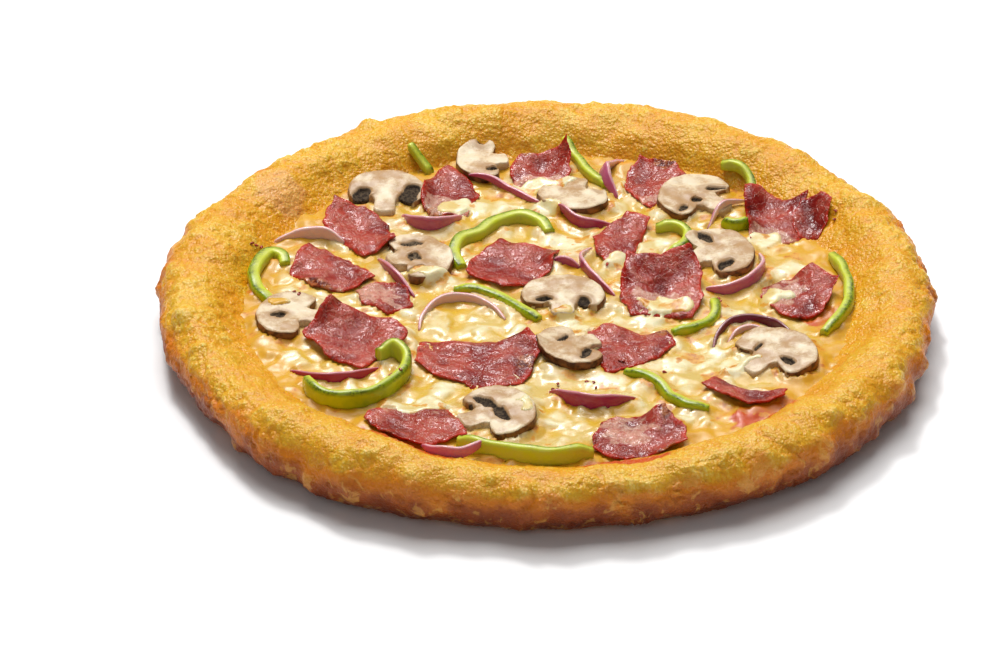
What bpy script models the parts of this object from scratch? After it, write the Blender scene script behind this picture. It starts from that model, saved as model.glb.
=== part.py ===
# Pan pizza: a thick blistered crust, a bed of melted cheese, and sliced toppings lying on it.
# Run with blender --background --python part.py, or from the text editor.

import math
import random

import bmesh
import bpy
import numpy as np
from mathutils import Matrix, Vector, noise
from mathutils.bvhtree import BVHTree

# Driving sizes, in millimetres. The meshes are scaled to metres as they are stored.
MM = 0.001

PIZZA_RADIUS = 150.0  # at the widest line of the rim
WIDEST_HEIGHT = 14.0
CREST_RADIUS = 136.0  # where the rim is highest
CREST_HEIGHT = 26.5
BASE_RADIUS = 132.0  # the flat underside
DISH_RADIUS = 117.0  # where the cheese meets the rim
DISH_HEIGHT = 17.0
FLOOR_RADIUS = 112.0  # the bread under the cheese
FLOOR_HEIGHT = 12.0
CRUST_STEPS = 144
INNER_STEPS = 4
OUTER_STEPS = 5
UNDER_STEPS = 4

BROAD_SWELL = 1.7  # relief of the rim: long waves, lumps and blisters
BROAD_SIZE = 34.0
LUMP_SWELL = 1.5
LUMP_SIZE = 13.0
BLISTERS = 54
BLISTER_RADIUS = (5.5, 10.0)
BLISTER_RISE = (0.8, 2.4)
BLISTER_SEED = 11

# How far the rim stands out, every 15 degrees from +X, and single lumps: x, y, z, radius, rise.
RIM_SWELL = [
    -1.3, -0.4, -0.9, -0.5, 1.3, 1.4, 1.5, 1.9, 0.6, -0.3, -0.1, 1.8,
    -0.5, -2.2, -2.2, 0.9, 1.9, -1.4, -1.9, -1.7, 0.0, 0.8, -0.3, -1.0,
]
RIM_LUMPS = [
    (-120, -88, 5, 6, 3.0),
    (126, -82, 6, 6, 2.5),
    (-149, 20, 12, 6, 1.6),
    (150, 15, 14, 6, 1.8),
]

CHEESE_STEPS = 72
CHEESE_RINGS = 12
CHEESE_EDGE_GAP = 0.8  # between the cheese and the rim's slope
CHEESE_DOME = 0.8
CHEESE_LUMP = 1.1
CHEESE_LUMP_SIZE = 17.0
CHEESE_BUBBLE = 0.7
CHEESE_BUBBLE_SIZE = 8.0

GAP = 0.35  # air between a topping and what it lies on
HAM_THICKNESS = 1.7
HAM_RINGS = 3
LIFT_POWER = 1.7  # how late a slice turns up towards its raised corners
MUSHROOM_THICKNESS = 4.2
PEPPER_STATIONS = 10
ONION_STATIONS = 10
GRID_REACH = 126  # half side of the height map, in cells of 1 mm

COLOURS = {
    "crust": ((0.78, 0.42, 0.06), 0.55),
    "cheese": ((0.86, 0.68, 0.30), 0.35),
    "ham": ((0.46, 0.10, 0.09), 0.35),
    "mushroom": ((0.72, 0.62, 0.47), 0.5),
    "pepper": ((0.36, 0.48, 0.03), 0.3),
    "onion": ((0.42, 0.10, 0.20), 0.3),
}

# Ham slices: corners as (x, y, rise of that corner above what the slice lies on).
HAM = {
    "ham_01": [
        (-82, 75, 6), (-87, 58, 3), (-83, 51, 1), (-71, 37, 0),
        (-58, 44, 1), (-61, 60, 3), (-70, 70, 4),
    ],
    "ham_02": [
        (-38, 103, 3), (-47, 95, 2), (-49, 80, 0), (-45, 69, 0),
        (-31, 69, 0), (-26, 86, 1), (-31, 97, 2),
    ],
    "ham_03": [
        (8, 113, 8), (-2, 111, 5), (-10, 110, 4), (-14, 104, 1),
        (-13, 91, 0), (6, 89, 0), (10, 99, 3),
    ],
    "ham_04": [
        (36, 110, 3), (31, 102, 2), (30, 90, 0), (40, 75, 0),
        (48, 86, 0), (55, 98, 1), (47, 106, 2),
    ],
    "ham_05": [
        (76, 81, 4), (83, 81, 3), (91, 77, 1), (102, 79, 4), (99, 69, 1),
        (98, 53, 0), (90, 49, 0), (78, 50, 0), (77, 65, 2),
    ],
    "ham_06": [
        (102, 74, 1), (107, 75, 2), (110, 69, 2), (108, 60, 1),
        (105, 54, 0), (101, 55, 0), (101, 65, 0),
    ],
    "ham_07": [
        (-92, 44, 4), (-97, 34, 2), (-99, 24, 0), (-88, 13, 0),
        (-75, 13, 0), (-65, 19, 0), (-76, 33, 1), (-85, 41, 2),
    ],
    "ham_08": [(-74, 12, 0), (-63, 17, 0), (-53, 12, 0), (-51, 2, 0), (-61, -4, 0), (-71, 2, 0)],
    "ham_09": [
        (-83, -11, 9), (-67, -16, 5), (-57, -20, 6), (-53, -27, 5),
        (-57, -36, 1), (-71, -48, 0), (-85, -40, 2), (-94, -25, 4),
    ],
    "ham_10": [
        (-18, 46, 3), (-29, 33, 1), (-32, 22, 2), (-17, 11, 1),
        (-5, 15, 1), (2, 26, 1), (5, 40, 3), (-7, 42, 2),
    ],
    "ham_11": [
        (31, 67, 3), (24, 57, 1), (18, 52, 0), (19, 40, 0),
        (23, 30, 0), (33, 36, 0), (37, 50, 1), (40, 62, 2),
    ],
    "ham_12": [
        (31, 26, 10), (44, 24, 9), (55, 29, 11), (60, 17, 5), (60, 2, 1),
        (56, -9, 0), (32, -8, 0), (28, 6, 1), (28, 17, 5),
    ],
    "ham_13": [
        (102, 22, 6), (94, 20, 1), (84, 19, 0), (82, 7, 0),
        (88, -4, 0), (96, -10, 1), (106, -5, 2), (112, 12, 5),
    ],
    "ham_14": [
        (-49, -27, 1), (-35, -29, 1), (-20, -29, 1), (-7, -26, 6), (-2, -36, 4),
        (-6, -50, 2), (-11, -61, 1), (-25, -61, 0), (-42, -55, 1), (-51, -44, 1),
    ],
    "ham_15": [
        (15, -21, 1), (25, -17, 1), (36, -22, 0), (45, -19, 1), (49, -30, 1),
        (44, -39, 0), (34, -45, 0), (22, -50, 0), (18, -37, 0),
    ],
    "ham_16": [
        (-62, -77, 1), (-50, -74, 0), (-38, -77, 0), (-32, -89, 1),
        (-31, -99, 1), (-47, -107, 2), (-60, -101, 3), (-71, -85, 2),
    ],
    "ham_17": [
        (45, -84, 8), (36, -84, 2), (23, -85, 0), (17, -97, 0), (17, -108, 0),
        (25, -114, 0), (43, -113, 0), (53, -107, 1), (53, -96, 3),
    ],
    "ham_18": [
        (63, -55, 2), (73, -61, 1), (84, -65, 1), (92, -66, 2),
        (91, -72, 3), (77, -77, 3), (66, -70, 3), (59, -62, 2),
    ],
}

# Mushroom slices: middle of the cap, width, turn and tilt of the slice, and the stem in half widths.
MUSHROOMS = {
    "mushroom_01": (-27, 108, 25, 95, 0, 0.75),
    "mushroom_02": (-62, 85, 30, -4, 8, 1.0),
    "mushroom_03": (10, 80, 28, 170, 0, 1.0),
    "mushroom_04": (57, 81, 33, 53, 3, 1.0),
    "mushroom_05": (-50, 33, 34, 288, 0, 0.7),
    "mushroom_06": (-99, -9, 32, 73, 0, 0.95),
    "mushroom_07": (66, 38, 34, 297, 3, 0.75),
    "mushroom_08": (6, 4, 33, 0, 4, 0.85),
    "mushroom_09": (9, -35, 31, 121, 6, 0.8),
    "mushroom_10": (88, -38, 36, 315, 6, 0.95),
    "mushroom_11": (-19, -83, 36, 295, 6, 0.9),
}

# Green pepper strips: the line of the strip on the cheese, its thickness and its height.
PEPPERS = {
    "pepper_01": (
        [(-101, 31), (-102, 37), (-107, 39), (-111, 31), (-113, 20), (-110, 9), (-105, 2)],
        3.2,
        4.5,
    ),
    "pepper_02": (
        [(-33, 28), (-36, 38), (-33, 48), (-26, 53), (-20, 61), (-11, 66), (-3, 62), (1, 54)],
        3.8,
        4.5,
    ),
    "pepper_03": ([(-53, 111), (-49, 107), (-45, 103)], 2.8, 3.5),
    "pepper_04": ([(7, 121), (12, 111), (15, 103), (19, 96), (23, 91)], 3.4, 4.5),
    "pepper_05": ([(68, 99), (74, 97), (79, 90), (79, 80), (78, 72)], 3.2, 3.6),
    "pepper_06": ([(68, 61), (73, 58), (78, 61)], 3.0, 4.2),
    "pepper_07": ([(42, 58), (49, 58), (54, 53), (53, 44), (47, 38)], 3.4, 4.5),
    "pepper_08": ([(-36, 12), (-28, 11), (-20, 7), (-14, 0), (-8, -7), (-3, -12)], 3.8, 3.6),
    "pepper_09": ([(64, 3), (65, -6), (62, -14), (56, -19), (48, -22)], 3.4, 4.0),
    "pepper_10": ([(110, 37), (114, 26), (116, 13), (116, 1), (112, -11), (106, -21)], 3.6, 4.5),
    "pepper_11": (
        [
            (-92, -59), (-88, -70), (-79, -75), (-69, -73), (-61, -66),
            (-55, -56), (-54, -46), (-59, -39), (-65, -43),
        ],
        3.2,
        7.0,
    ),
    "pepper_12": ([(30, -50), (38, -55), (44, -62), (48, -70), (54, -76), (62, -78)], 3.4, 3.8),
    "pepper_13": ([(-34, -104), (-23, -110), (-10, -114), (3, -116), (17, -112)], 3.2, 6.5),
}

# Red onion strips: the line of the strip on the cheese and its height in the middle.
ONIONS = {
    "onion_01": ([(-56, 70), (-52, 62), (-45, 58), (-38, 60), (-33, 68)], 6.5),
    "onion_02": ([(-105, 50), (-96, 53), (-87, 52), (-78, 47)], 5.0),
    "onion_03": ([(-30, 96), (-20, 93), (-11, 85), (-3, 77)], 3.6),
    "onion_04": ([(27, 84), (22, 92), (21, 101), (26, 110), (30, 112)], 5.5),
    "onion_05": ([(4, 72), (11, 63), (18, 60), (27, 62)], 5.5),
    "onion_06": ([(-65, 38), (-62, 28), (-57, 19), (-51, 9)], 4.5),
    "onion_07": ([(-49, -17), (-48, -9), (-43, 0), (-36, 4), (-28, 3), (-21, -2), (-16, -10)], 4.6),
    "onion_08": ([(1, 33), (8, 31), (13, 29)], 4.0),
    "onion_09": ([(17, 43), (13, 34), (15, 25), (20, 16), (26, 7)], 5.0),
    "onion_10": ([(77, 78), (71, 75), (66, 69), (62, 61)], 3.0),
    "onion_11": ([(61, 11), (70, 11), (78, 16), (83, 26), (82, 38)], 6.0),
    "onion_12": ([(64, -31), (65, -24), (70, -16), (78, -13), (87, -16), (94, -26)], 5.0),
    "onion_13": ([(69, -27), (73, -21), (79, -18), (86, -21)], 3.4),
    "onion_14": ([(-98, -46), (-91, -53), (-82, -56), (-72, -53), (-64, -46)], 4.5),
    "onion_15": ([(1, -63), (8, -72), (18, -77), (27, -75), (34, -69)], 6.5),
    "onion_16": ([(-48, -107), (-44, -114), (-36, -117), (-28, -113), (-22, -105)], 4.5),
}

# Lowest first: each topping rests on the cheese, the rim and those named before it.
STACK = """
    pepper_03 pepper_04 pepper_05 pepper_07 pepper_08 pepper_10 pepper_12 pepper_13 pepper_02 pepper_01
    pepper_06 onion_06 mushroom_02 mushroom_06 mushroom_05 mushroom_07 pepper_09 onion_08 onion_13
    ham_02 ham_03 ham_04 ham_08 ham_10 ham_15 ham_16 ham_18 ham_14
    mushroom_03 mushroom_01 mushroom_04 mushroom_08 mushroom_09 mushroom_10 mushroom_11 onion_10
    onion_03 onion_05 ham_01 ham_09 ham_11 ham_12 ham_13 ham_17 ham_05 ham_06
    onion_02 ham_07 onion_01 onion_04 onion_07 onion_09 onion_11 onion_12 onion_14
    onion_15 onion_16 pepper_11
""".split()


def clear_scene():
    for obj in list(bpy.data.objects):
        bpy.data.objects.remove(obj)


def make_material(name):
    colour, roughness = COLOURS[name]
    material = bpy.data.materials.new(name)
    material.use_nodes = True
    shader = material.node_tree.nodes["Principled BSDF"]
    shader.inputs["Base Color"].default_value = (*colour, 1.0)
    shader.inputs["Roughness"].default_value = roughness
    shader.inputs["Metallic"].default_value = 0.0
    return material


def store(name, bm, material, collection):
    """Turns a bmesh in millimetres into a smooth-shaded object in metres."""
    bmesh.ops.recalc_face_normals(bm, faces=bm.faces)
    bmesh.ops.scale(bm, vec=(MM, MM, MM), verts=bm.verts)
    mesh = bpy.data.meshes.new(name)
    bm.to_mesh(mesh)
    bm.free()
    mesh.shade_smooth()
    mesh.set_sharp_from_angle(angle=math.radians(40))
    mesh.materials.append(material)
    obj = bpy.data.objects.new(name, mesh)
    collection.objects.link(obj)
    return obj


def turned(profile, steps):
    """A bmesh of the profile's (radius, height) points turned about the Z axis."""
    bm = bmesh.new()
    line = [bm.verts.new((radius, 0.0, height)) for radius, height in profile]
    for a, b in zip(line, line[1:]):
        bm.edges.new((a, b))
    bmesh.ops.spin(
        bm,
        geom=bm.verts[:] + bm.edges[:],
        axis=(0, 0, 1),
        cent=(0, 0, 0),
        angle=math.tau,
        steps=steps,
        use_merge=True,
        use_duplicate=False,
    )
    bmesh.ops.remove_doubles(bm, verts=bm.verts, dist=0.001)
    bmesh.ops.recalc_face_normals(bm, faces=bm.faces)
    return bm


def rim_profile():
    """(radius, height) from the bread under the cheese, over the rim, to the underside."""
    profile = [(0.0, FLOOR_HEIGHT), (FLOOR_RADIUS, FLOOR_HEIGHT), (DISH_RADIUS, DISH_HEIGHT)]
    for i in range(1, INNER_STEPS + 1):
        t = i / INNER_STEPS
        radius = DISH_RADIUS + (CREST_RADIUS - DISH_RADIUS) * t
        height = DISH_HEIGHT + (CREST_HEIGHT - DISH_HEIGHT) * math.sin(t * math.pi / 2)
        profile.append((radius, height))
    for i in range(1, OUTER_STEPS + 1):
        a = math.pi / 2 * (1 - i / OUTER_STEPS)
        radius = CREST_RADIUS + (PIZZA_RADIUS - CREST_RADIUS) * math.cos(a)
        height = WIDEST_HEIGHT + (CREST_HEIGHT - WIDEST_HEIGHT) * math.sin(a)
        profile.append((radius, height))
    for i in range(1, UNDER_STEPS + 1):
        a = math.pi / 2 * i / UNDER_STEPS
        radius = BASE_RADIUS + (PIZZA_RADIUS - BASE_RADIUS) * math.cos(a)
        height = WIDEST_HEIGHT * (1 - math.sin(a))
        profile.append((radius, height))
    profile.append((0.0, 0.0))
    return profile


def blister_places():
    """Centre, radius and rise of each blister on the outer half of the rim."""
    rng = random.Random(BLISTER_SEED)
    places = []
    for i in range(BLISTERS):
        turn = math.tau * (i + rng.uniform(-0.4, 0.4)) / BLISTERS
        a = math.radians(rng.uniform(-20, 75))
        radius = CREST_RADIUS + (PIZZA_RADIUS - CREST_RADIUS) * math.cos(a)
        height = WIDEST_HEIGHT + (CREST_HEIGHT - WIDEST_HEIGHT) * math.sin(a)
        centre = Vector((radius * math.cos(turn), radius * math.sin(turn), height))
        places.append((centre, rng.uniform(*BLISTER_RADIUS), rng.uniform(*BLISTER_RISE)))
    return places + [(Vector((x, y, z)), radius, rise) for x, y, z, radius, rise in RIM_LUMPS]


def rim_swell(point):
    """The rim's slow bulge outwards, between the values of the table."""
    place = math.atan2(point.y, point.x) / math.tau * len(RIM_SWELL)
    first = math.floor(place)
    share = place - first
    return RIM_SWELL[first % len(RIM_SWELL)] * (1 - share) + RIM_SWELL[(first + 1) % len(RIM_SWELL)] * share


def rim_relief(point, blisters):
    """How far the crust stands out from its turned form at a point, in millimetres."""
    relief = rim_swell(point) + BROAD_SWELL * noise.noise(point / BROAD_SIZE)
    relief += LUMP_SWELL * noise.noise(point / LUMP_SIZE + Vector((7, 3, 1)))
    for centre, radius, rise in blisters:
        share = (point - centre).length / radius
        if share < 1:
            relief += rise * (1 - share * share) ** 2
    return relief


def make_crust():
    bm = turned(rim_profile(), CRUST_STEPS)
    blisters = blister_places()
    moves = []
    for vert in bm.verts:
        radius = math.hypot(vert.co.x, vert.co.y)
        if vert.co.z < 0.5 or radius < DISH_RADIUS + 1:
            continue
        fade = min(1.0, (radius - DISH_RADIUS) / 8) * min(1.0, vert.co.z / 6)
        moves.append((vert, vert.normal * rim_relief(vert.co, blisters) * fade))
    for vert, move in moves:
        vert.co += move
    low = [min(v.co[i] for v in bm.verts) for i in (0, 1)]
    high = [max(v.co[i] for v in bm.verts) for i in (0, 1)]
    shift = Vector((-(low[0] + high[0]) / 2, -(low[1] + high[1]) / 2, 0))
    for vert in bm.verts:
        if math.hypot(vert.co.x, vert.co.y) > DISH_RADIUS + 1:
            vert.co += shift
    return bm


def cheese_level(x, y):
    """Height of the melted cheese, lumpy and a little domed."""
    point = Vector((x, y, 0))
    share = math.hypot(x, y) / DISH_RADIUS
    height = DISH_HEIGHT + CHEESE_DOME * (1 - share * share)
    lumps = CHEESE_LUMP * noise.noise(point / CHEESE_LUMP_SIZE + Vector((2, 5, 9)))
    lumps += CHEESE_BUBBLE * noise.noise(point / CHEESE_BUBBLE_SIZE + Vector((4, 1, 3)))
    return height + lumps * min(1.0, 6 * (1 - share)) - 0.35


def make_cheese():
    top_radius = DISH_RADIUS - CHEESE_EDGE_GAP
    profile = [(top_radius * i / CHEESE_RINGS, DISH_HEIGHT) for i in range(CHEESE_RINGS + 1)]
    profile += [(FLOOR_RADIUS - CHEESE_EDGE_GAP, FLOOR_HEIGHT + GAP), (0.0, FLOOR_HEIGHT + GAP)]
    bm = turned(profile, CHEESE_STEPS)
    for vert in bm.verts:
        if vert.co.z > DISH_HEIGHT - 1:
            vert.co.z = cheese_level(vert.co.x, vert.co.y)
    return bm


class HeightMap:
    """The highest surface laid so far, on cells of 1 mm."""

    def __init__(self):
        side = 2 * GRID_REACH + 1
        self.top = np.zeros((side, side))

    def cells(self, low, high):
        for i in range(max(-GRID_REACH, math.floor(low[0])), min(GRID_REACH, math.ceil(high[0])) + 1):
            for j in range(max(-GRID_REACH, math.floor(low[1])), min(GRID_REACH, math.ceil(high[1])) + 1):
                yield i, j

    def lay(self, bm):
        """Raises the map to the top of this piece."""
        tree = BVHTree.FromBMesh(bm)
        low = [min(v.co[k] for v in bm.verts) for k in (0, 1)]
        high = [max(v.co[k] for v in bm.verts) for k in (0, 1)]
        for i, j in self.cells(low, high):
            hit = tree.ray_cast(Vector((i, j, 100)), Vector((0, 0, -1)))[0]
            if hit:
                cell = (i + GRID_REACH, j + GRID_REACH)
                self.top[cell] = max(self.top[cell], hit.z)

    def under(self, x, y, reach):
        """The highest surface within reach of a point."""
        i, j = round(x) + GRID_REACH, round(y) + GRID_REACH
        r = math.ceil(reach)
        return self.top[max(0, i - r) : i + r + 1, max(0, j - r) : j + r + 1].max()

    def rest(self, bm):
        """Moves a piece up, if it needs it, until it clears what lies below."""
        tree = BVHTree.FromBMesh(bm)
        low = [min(v.co[k] for v in bm.verts) for k in (0, 1)]
        high = [max(v.co[k] for v in bm.verts) for k in (0, 1)]
        short = -math.inf
        for i, j in self.cells(low, high):
            hit = tree.ray_cast(Vector((i, j, -10)), Vector((0, 0, 1)))[0]
            if hit:
                short = max(short, self.under(i, j, 1) + GAP - hit.z)
        for vert in bm.verts:
            short = max(short, self.under(vert.co.x, vert.co.y, 1) + GAP - vert.co.z)
        return short


def through(points, count):
    """Points spread evenly along a smooth curve through the given ones."""
    ends = [2 * points[0] - points[1], *points, 2 * points[-1] - points[-2]]
    dense = []
    for a, b, c, d in zip(ends, ends[1:], ends[2:], ends[3:]):
        for step in range(12):
            t = step / 12
            bend = (2 * a - 5 * b + 4 * c - d) * t * t + (3 * b - a - 3 * c + d) * t**3
            dense.append(0.5 * (2 * b + (c - a) * t + bend))
    dense.append(points[-1])
    lengths = [0.0]
    for a, b in zip(dense, dense[1:]):
        lengths.append(lengths[-1] + (b - a).length)
    even = []
    for i in range(count):
        want = lengths[-1] * i / (count - 1)
        k = max(1, next((n for n, have in enumerate(lengths) if have >= want), len(lengths) - 1))
        share = (want - lengths[k - 1]) / (lengths[k] - lengths[k - 1])
        even.append(dense[k - 1].lerp(dense[k], min(1.0, share)))
    return even


def ham_sheet(corners, heights):
    """A thin slice draped over what lies below, with some corners turned up."""
    middle = sum((Vector(c) for c in corners), Vector()) / len(corners)
    outline = []
    for a, b in zip(corners, corners[1:] + corners[:1]):
        outline += [Vector(a), (Vector(a) + Vector(b)) / 2]
    bm = turned([(ring / HAM_RINGS, 0.0) for ring in range(HAM_RINGS + 1)], len(outline))
    for vert in bm.verts:
        ring = vert.co.xy.length
        corner = outline[round(math.atan2(vert.co.y, vert.co.x) / math.tau * len(outline)) % len(outline)]
        spot = middle.lerp(corner, ring)
        lift = corner.z * ring**LIFT_POWER
        vert.co = (spot.x, spot.y, heights.under(spot.x, spot.y, 3) + GAP + lift)
    for _ in range(2):
        raised = {}
        for vert in bm.verts:
            around = [edge.other_vert(vert).co.z for edge in vert.link_edges]
            raised[vert] = max(vert.co.z, sum(around) / len(around))
        for vert, height in raised.items():
            vert.co.z = height
    bmesh.ops.recalc_face_normals(bm, faces=bm.faces)
    if sum(f.normal.z for f in bm.faces) < 0:
        bmesh.ops.reverse_faces(bm, faces=bm.faces)
    upper = bmesh.ops.extrude_face_region(bm, geom=bm.faces[:])
    verts = [v for v in upper["geom"] if isinstance(v, bmesh.types.BMVert)]
    bmesh.ops.translate(bm, vec=(0, 0, HAM_THICKNESS), verts=verts)
    return bm


def mushroom_outline(width, stem):
    """Half of a slice through cap and stem, from the top of the cap to the foot of the stem."""
    half = width / 2
    dome = [(math.sin(a), 0.8 * math.cos(a)) for a in np.radians([0, 22, 44, 64, 82, 98])]
    rim = [(0.9, -0.36), (0.72, -0.45), (0.5, -0.4)]
    foot = [(0.36, -0.34), (0.26, -0.55), (0.28, -stem)]
    return [(half * x, half * y) for x, y in dome + rim + foot]


def mushroom_slice(x, y, width, turn, tilt, stem):
    half = mushroom_outline(width, stem)
    ring = half + [(-px, py) for px, py in reversed(half[1:])]
    bm = bmesh.new()
    bm.faces.new([bm.verts.new((px, py, 0.0)) for px, py in ring])
    raised = bmesh.ops.extrude_face_region(bm, geom=bm.faces[:])
    verts = [v for v in raised["geom"] if isinstance(v, bmesh.types.BMVert)]
    bmesh.ops.translate(bm, vec=(0, 0, MUSHROOM_THICKNESS), verts=verts)
    place = (
        Matrix.Translation((x, y, 0))
        @ Matrix.Rotation(math.radians(turn), 4, "Z")
        @ Matrix.Rotation(math.radians(tilt), 4, "X")
    )
    bmesh.ops.transform(bm, matrix=place, verts=bm.verts)
    return bm


def swept(stations, section):
    """A closed strip: section(i) gives the ring of points at station i."""
    bm = bmesh.new()
    ring = [bm.verts.new(p) for p in section(0)]
    end = bm.faces.new(ring)
    for i in range(1, stations):
        end = bmesh.ops.extrude_discrete_faces(bm, faces=[end])["faces"][0]
        for vert, place in zip(end.verts, section(i)):
            vert.co = place
    bm.faces.new(ring)
    bmesh.ops.recalc_face_normals(bm, faces=bm.faces)
    return bm


def laid_line(path, count, width, heights):
    """The strip's line, evenly spaced and raised over what lies below it."""
    line = through([Vector((x, y, 0)) for x, y in path], count)
    for point in line:
        point.z = heights.under(point.x, point.y, width) + GAP
    for _ in range(3):
        for a, b, c in zip(line, line[1:], line[2:]):
            b.z = max(b.z, (a.z + c.z) / 2)
    return line


def side_of(line, i):
    """The level direction across the strip at a station."""
    along = line[min(i + 1, len(line) - 1)] - line[max(i - 1, 0)]
    return Vector((-along.y, along.x, 0)).normalized()


def pepper_strip(path, thickness, height, heights):
    line = laid_line(path, PEPPER_STATIONS, thickness / 2, heights)
    up = Vector((0, 0, height))

    def section(i):
        end = min(i, PEPPER_STATIONS - 1 - i)
        share = (0.55, 0.9, 1.0)[min(end, 2)]
        half = side_of(line, i) * thickness / 2 * share
        base = line[i]
        top = base + up * (0.75 + 0.25 * share)
        middle = base.lerp(top, 0.55)
        right = [base + half, middle + half * 1.1, top + half * 0.6]
        left = [top - half * 0.6, middle - half * 1.1, base - half]
        return right + left

    return swept(PEPPER_STATIONS, section)


def onion_strip(path, height, heights):
    line = laid_line(path, ONION_STATIONS, 1, heights)

    def section(i):
        t = i / (ONION_STATIONS - 1)
        share = 0.22 + 0.78 * math.sin(math.pi * t) ** 0.8
        half = side_of(line, i) * (0.5 + 0.5 * share)
        base = line[i]
        top = base + Vector((0, 0, height * share))
        return [base - half * 0.7, base + half * 0.7, top + half * 0.6, top - half * 0.6]

    return swept(ONION_STATIONS, section)


def make_topping(name, heights):
    if name in HAM:
        return ham_sheet(HAM[name], heights)
    if name in MUSHROOMS:
        return mushroom_slice(*MUSHROOMS[name])
    if name in PEPPERS:
        return pepper_strip(*PEPPERS[name], heights)
    return onion_strip(*ONIONS[name], heights)


def main():
    clear_scene()
    pizza = bpy.data.collections.new("pan_pizza")
    bpy.context.scene.collection.children.link(pizza)
    materials = {name: make_material(name) for name in COLOURS}
    heights = HeightMap()
    for name, bm in (("crust", make_crust()), ("cheese", make_cheese())):
        heights.lay(bm)
        store(name, bm, materials[name], pizza)
    for name in STACK:
        bm = make_topping(name, heights)
        short = heights.rest(bm)
        if short > 0 or name in MUSHROOMS:
            bmesh.ops.translate(bm, vec=(0, 0, short), verts=bm.verts)
        heights.lay(bm)
        store(name, bm, materials[name.rsplit("_", 1)[0]], pizza)


main()
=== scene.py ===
import math
import random

import bmesh
import bpy
import numpy as np
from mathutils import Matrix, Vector, noise


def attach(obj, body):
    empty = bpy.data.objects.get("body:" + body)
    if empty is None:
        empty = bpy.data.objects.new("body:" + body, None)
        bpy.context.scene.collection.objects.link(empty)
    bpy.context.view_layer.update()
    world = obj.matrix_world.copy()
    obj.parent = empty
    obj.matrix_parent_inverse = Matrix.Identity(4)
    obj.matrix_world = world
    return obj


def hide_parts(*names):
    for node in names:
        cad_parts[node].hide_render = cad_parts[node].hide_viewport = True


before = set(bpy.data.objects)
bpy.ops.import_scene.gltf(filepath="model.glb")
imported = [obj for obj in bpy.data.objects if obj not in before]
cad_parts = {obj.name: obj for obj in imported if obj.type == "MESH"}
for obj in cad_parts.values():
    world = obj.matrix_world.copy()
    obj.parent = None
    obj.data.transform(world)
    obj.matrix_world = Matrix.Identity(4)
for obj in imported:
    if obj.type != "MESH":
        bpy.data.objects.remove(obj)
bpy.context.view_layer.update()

mm = 0.001


# small helpers; shapes are worked out in millimetres

def screen(r, g, b):
    # colour as a screen shows it, 0 to 255, to the linear values that nodes take
    def one(c):
        c /= 255
        return c / 12.92 if c <= 0.04045 else ((c + 0.055) / 1.055) ** 2.4
    return (one(r), one(g), one(b), 1.0)


def noiseOf(points, size, shift=0.0):
    # soft noise from -1 to 1 with features of a size; another shift gives another pattern
    moved = ((x / size + shift, y / size - shift, z / size + 3.1 * shift) for x, y, z in points)
    return np.array([noise.noise(place) for place in moved])


def lumpsOf(points, size, shift):
    # the same noise that the solids of crust and cheese have
    return np.array([noise.noise(Vector(p) / size + Vector(shift)) for p in points])


def bubblesOf(points, size, shift=0.0):
    # round domes packed side by side, 1 at their tops and 0 between them
    moved = ((x / size + shift, y / size, z / size - shift) for x, y, z in points)
    near = np.array([noise.voronoi(place)[0][0] for place in moved])
    return np.clip(1 - 1.7 * near * near, 0, 1)


def smooth(values, low, high):
    # 0 below low, 1 above high and a soft step between them
    t = np.clip((values - low) / (high - low), 0, 1)
    return t * t * (3 - 2 * t)


def between(low, high, share):
    return low + (high - low) * share


def onFloor(x, y):
    return np.column_stack([x, y, np.zeros(len(x))])


def spun(profile, steps):
    # closed form turned about Z from (radius, height) points
    bm = bmesh.new()
    line = [bm.verts.new((r, 0, z)) for r, z in profile]
    for a, b in zip(line, line[1:]):
        bm.edges.new((a, b))
    bmesh.ops.spin(
        bm, geom=bm.verts[:] + bm.edges[:], axis=(0, 0, 1), cent=(0, 0, 0),
        angle=math.tau, steps=steps, use_merge=True, use_duplicate=False)
    bmesh.ops.remove_doubles(bm, verts=bm.verts, dist=1e-5)
    bmesh.ops.recalc_face_normals(bm, faces=bm.faces)
    return meshOf("spun", bm)


def meshOf(name, bm):
    mesh = bpy.data.meshes.new(name)
    bm.to_mesh(mesh)
    bm.free()
    return mesh


def placesOf(mesh):
    found = np.empty(len(mesh.vertices) * 3)
    mesh.vertices.foreach_get("co", found)
    return found.reshape(-1, 3)


def normalsOf(mesh):
    found = np.empty(len(mesh.vertices) * 3, dtype=np.float32)
    mesh.vertex_normals.foreach_get("vector", found)
    return found.reshape(-1, 3).astype(float)


def makePiece(name, mesh, places, material, slot, node=None, **marks):
    # stores a worked out mesh as an object of the pizza, with its marks as attributes
    mesh.name = name
    mesh.vertices.foreach_set("co", (places * mm).astype(np.float32).ravel())
    for mark, values in marks.items():
        stored = mesh.attributes.new(mark, "FLOAT", "POINT")
        stored.data.foreach_set("value", np.asarray(values, dtype=np.float32))
    mesh.update()
    mesh.shade_smooth()
    mesh.materials.append(material)
    piece = bpy.data.objects.new(name, mesh)
    bpy.context.scene.collection.objects.link(piece)
    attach(piece, "root")
    if node:
        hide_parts(node)


def neighbours(grid):
    # the grid moved by up to one cell each way, and itself
    return [np.roll(grid, (i, j), (0, 1)) for i in (-1, 0, 1) for j in (-1, 0, 1)]


def blurred(grid, times):
    for _ in range(times):
        grid = sum(neighbours(grid)) / 9
    return grid


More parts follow.
